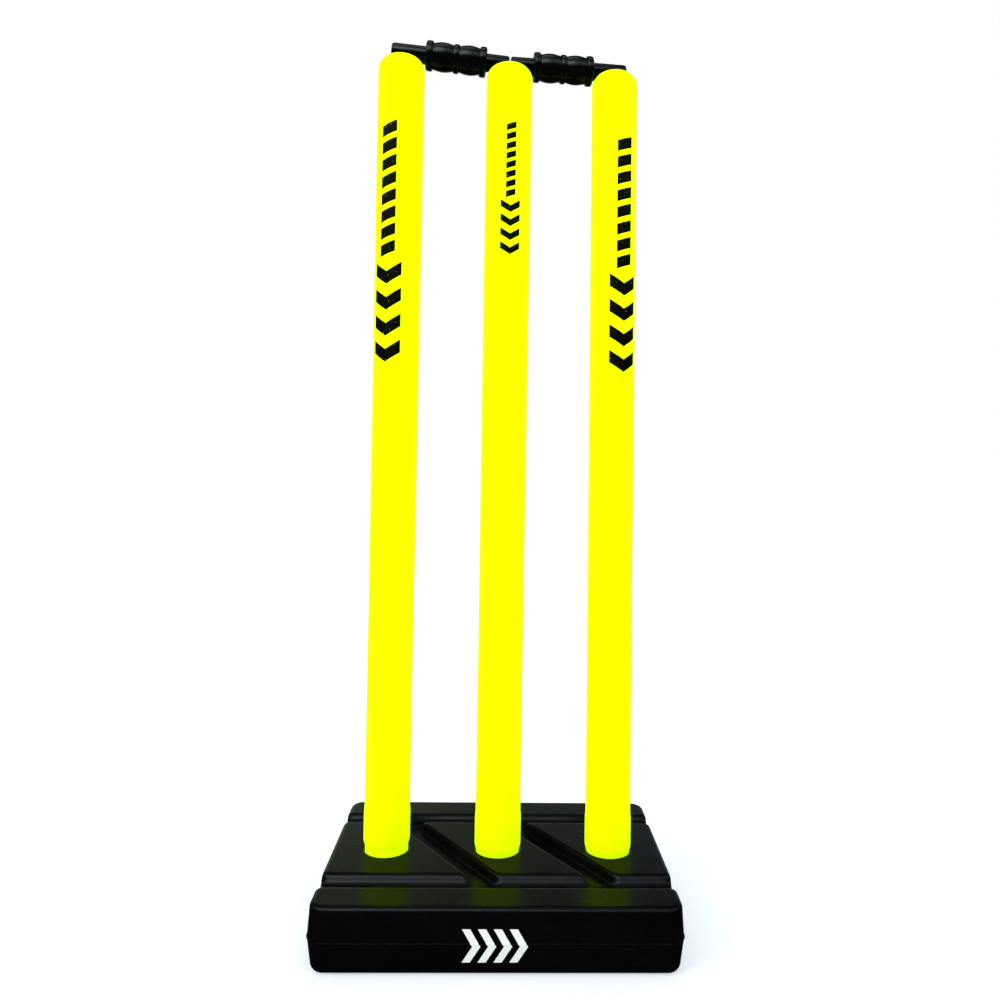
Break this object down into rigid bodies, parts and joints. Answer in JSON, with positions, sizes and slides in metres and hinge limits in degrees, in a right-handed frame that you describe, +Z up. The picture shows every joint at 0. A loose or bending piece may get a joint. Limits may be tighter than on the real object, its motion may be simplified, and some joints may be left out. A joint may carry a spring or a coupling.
{
  "type": "cricket stumps",
  "caption": "Free-standing wicket: hollow moulded stumps in the sockets of a weighted base, with loose bails laid in grooves across their crowned tops",
  "frame": {"origin": "on the floor under the middle of the base", "axes": "+Z up along the stumps; +X along the wicket, from the left stump to the right one as the bowler sees it; -Y faces the bowler"},
  "size_m": [0.286, 0.202, 0.7496],
  "materials": {
    "black_moulding": "satin",
    "yellow_moulding": "satin",
    "black_bail": "satin",
    "dry_sand": "matte",
    "seal_rubber": "matte"
  },
  "bodies": {
    "base": {"base_shell": "black_moulding", "sand_ballast": "dry_sand"},
    "filler": {"filler_plug": "black_moulding", "filler_seal": "seal_rubber"},
    "left_stump": {"stump_left": "yellow_moulding"},
    "middle_stump": {"stump_middle": "yellow_moulding"},
    "right_stump": {"stump_right": "yellow_moulding"},
    "left_bail": {"bail_left": "black_bail"},
    "right_bail": {"bail_right": "black_bail"}
  },
  "joints": [
    {"name": "middle_stump_lift", "type": "slide", "parent": "base", "child": "middle_stump", "axis": [0, 0, 1], "range_m": [0, 0.06]},
    {"name": "left_stump_lift", "type": "slide", "parent": "base", "child": "left_stump", "axis": [0, 0, 1], "range_m": [0, 0.06]},
    {"name": "right_stump_lift", "type": "slide", "parent": "base", "child": "right_stump", "axis": [0, 0, 1], "range_m": [0, 0.06]},
    {"name": "left_bail_lift", "type": "slide", "parent": "left_stump", "child": "left_bail", "axis": [0, 0, 1], "range_m": [0, 0.05]},
    {"name": "right_bail_lift", "type": "slide", "parent": "right_stump", "child": "right_bail", "axis": [0, 0, 1], "range_m": [0, 0.05]},
    {"name": "filler_plug_pull", "type": "slide", "parent": "base", "child": "filler", "axis": [0, 1, 0], "range_m": [0, 0.025]}
  ],
  "couplings": [
    {"joint": "left_stump_lift", "follows": "middle_stump_lift", "ratio": 1},
    {"joint": "right_stump_lift", "follows": "middle_stump_lift", "ratio": 1}
  ]
}
